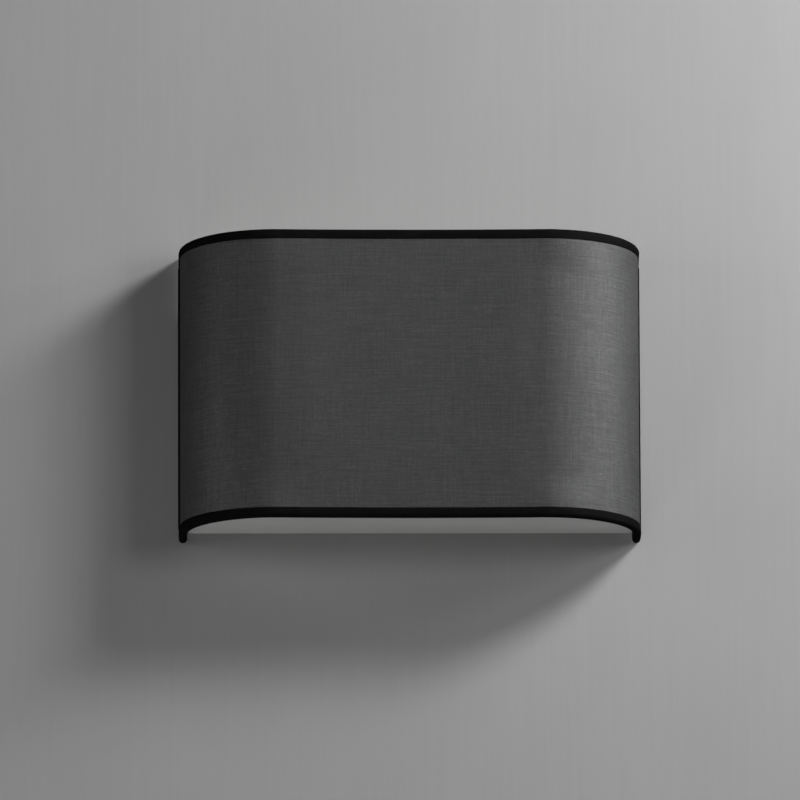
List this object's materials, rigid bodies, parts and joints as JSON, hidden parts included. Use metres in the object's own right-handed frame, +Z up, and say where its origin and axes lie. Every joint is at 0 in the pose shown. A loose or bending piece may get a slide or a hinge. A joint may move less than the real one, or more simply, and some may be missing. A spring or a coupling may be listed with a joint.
{
  "type": "fabric shade wall light",
  "caption": "Half-round wall light: dark grey woven shade with black taped edges on a steel wall plate, candle lamps inside, opal diffuser in the bottom rim.",
  "frame": {"origin": "middle of the wall plate's rear face, in the plane of the wall", "axes": "+Y into the wall, +X to the right seen from the room, +Z up; the shade stands out along -Y"},
  "size_m": [0.3, 0.082, 0.191],
  "materials": {
    "shade_weave": "fine plain weave, dark grey, slight sheen",
    "binding_tape": "matt black grosgrain tape",
    "liner_white": "matt off-white film",
    "frame_wire": "black powder coat on drawn wire",
    "plate_paint": "white powder coat on folded steel",
    "zinc_steel": "zinc plated",
    "brass": "bare turned brass",
    "opal_acrylic": "opal, satin",
    "grommet_rubber": "soft black rubber",
    "clamp_nylon": "natural nylon",
    "terminal_body": "moulded, semi-matt",
    "holder_thermoplastic": "moulded white thermoplastic",
    "holder_ceramic": "glazed ceramic",
    "shell_metal": "rolled plated brass",
    "lead_brown": "silicone insulation",
    "lead_blue": "silicone insulation",
    "lead_earth": "silicone insulation",
    "lamp_cap_metal": "rolled nickel-plated",
    "cap_glass": "black vitrite",
    "contact_solder": "tinned",
    "lamp_housing": "satin white",
    "led_board": "white printed board",
    "lamp_opal": "frosted bulb"
  },
  "bodies": {
    "base": {"wall_plate": "plate_paint", "lamp_bracket_left": "plate_paint", "lamp_bracket_right": "plate_paint", "weld_nuts": "zinc_steel", "plate_studs": "zinc_steel", "m4_nuts": "zinc_steel", "terminal_nuts": "zinc_steel", "earth_washer": "zinc_steel", "earth_ring_terminal": "zinc_steel", "nipple_nuts": "zinc_steel", "nipple_washers": "zinc_steel", "nipples": "zinc_steel", "terminal_screws": "zinc_steel", "cable_grommet": "grommet_rubber", "cable_clamp": "clamp_nylon", "terminal_block": "terminal_body", "terminal_inserts": "brass", "holder_base_left": "holder_thermoplastic", "holder_skirt_left": "holder_thermoplastic", "holder_insert_left": "holder_ceramic", "holder_shell_left": "shell_metal", "lead_live_left": "lead_brown", "lead_neutral_left": "lead_blue", "holder_base_right": "holder_thermoplastic", "holder_skirt_right": "holder_thermoplastic", "holder_insert_right": "holder_ceramic", "holder_shell_right": "shell_metal", "lead_live_right": "lead_brown", "lead_neutral_right": "lead_blue", "holder_contacts": "brass", "earth_lead": "lead_earth"},
    "shade": {"shade_fabric": "shade_weave", "shade_liner": "liner_white", "trim_top": "binding_tape", "trim_bottom": "binding_tape", "trim_rear_left": "binding_tape", "trim_rear_right": "binding_tape", "ring_top": "frame_wire", "ring_bottom": "frame_wire", "upright_left": "frame_wire", "upright_right": "frame_wire", "shade_bracket_left": "frame_wire", "shade_bracket_right": "frame_wire", "thumb_washers": "zinc_steel"},
    "thumb_screw_left": {"thumb_screw_left": "zinc_steel"},
    "thumb_screw_right": {"thumb_screw_right": "zinc_steel"},
    "diffuser": {"diffuser": "opal_acrylic"},
    "lamp_left_seat": {"lamp_left_cap": "lamp_cap_metal", "lamp_left_insulator": "cap_glass", "lamp_left_contact": "contact_solder"},
    "lamp_left": {"lamp_left_housing": "lamp_housing", "lamp_left_led_board": "led_board", "lamp_left_envelope": "lamp_opal"},
    "lamp_right_seat": {"lamp_right_cap": "lamp_cap_metal", "lamp_right_insulator": "cap_glass", "lamp_right_contact": "contact_solder"},
    "lamp_right": {"lamp_right_housing": "lamp_housing", "lamp_right_led_board": "led_board", "lamp_right_envelope": "lamp_opal"}
  },
  "joints": [
    {"name": "shade_pull_off", "type": "slide", "parent": "base", "child": "shade", "axis": [0, -1, 0], "range_m": [0, 0.09]},
    {"name": "diffuser_lift", "type": "slide", "parent": "shade", "child": "diffuser", "axis": [0, 0, 1], "range_m": [0, 0.012]},
    {"name": "thumb_screw_left_turn", "type": "hinge", "parent": "shade", "child": "thumb_screw_left", "pos_m": [-0.131, -0.0144, 0], "axis": [0, -1, 0], "continuous": true},
    {"name": "thumb_screw_right_turn", "type": "hinge", "parent": "shade", "child": "thumb_screw_right", "pos_m": [0.131, -0.0144, 0], "axis": [0, -1, 0], "continuous": true},
    {"name": "lamp_left_travel", "type": "slide", "parent": "base", "child": "lamp_left_seat", "axis": [0, 0, 1], "range_m": [0, 0.01128]},
    {"name": "lamp_left_turn", "type": "hinge", "parent": "lamp_left_seat", "child": "lamp_left", "pos_m": [-0.062, -0.042, 0], "axis": [0, 0, 1], "range_deg": [0, 1440]},
    {"name": "lamp_right_travel", "type": "slide", "parent": "base", "child": "lamp_right_seat", "axis": [0, 0, 1], "range_m": [0, 0.01128]},
    {"name": "lamp_right_turn", "type": "hinge", "parent": "lamp_right_seat", "child": "lamp_right", "pos_m": [0.062, -0.042, 0], "axis": [0, 0, 1], "range_deg": [0, 1440]}
  ],
  "couplings": [
    {"joint": "lamp_left_turn", "follows": "lamp_left_travel", "rad_per_m": 2228.1},
    {"joint": "lamp_right_turn", "follows": "lamp_right_travel", "rad_per_m": 2228.1}
  ]
}
